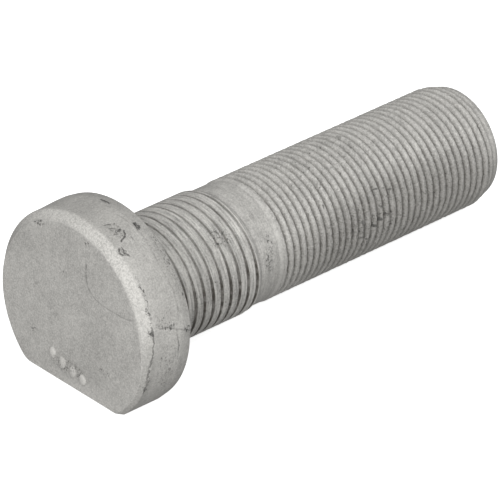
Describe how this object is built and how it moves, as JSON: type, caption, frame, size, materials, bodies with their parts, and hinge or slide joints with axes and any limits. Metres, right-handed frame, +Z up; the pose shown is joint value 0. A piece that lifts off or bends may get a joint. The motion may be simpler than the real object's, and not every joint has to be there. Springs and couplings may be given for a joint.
{
  "type": "wheel bolt",
  "caption": "Coated steel wheel bolt with a D-shaped head, a spirally ribbed press-fit shank, a plain neck and a fine right-hand thread for the wheel nut.",
  "frame": {"origin": "centre of the bolt's footprint, on the surface it lies on", "axes": "+X along the bolt from the head to the thread end, +Z up; the bolt lies on the inner edge of its flat and on the thread end, so its own axis dips 1.64 degrees below +X"},
  "size_m": [0.0906, 0.0364, 0.0316],
  "materials": {
    "coated_steel": "matte light grey zinc-flake coating with scuffs"
  },
  "bodies": {
    "root": {"wheel_bolt": "coated_steel"}
  },
  "joints": []
}
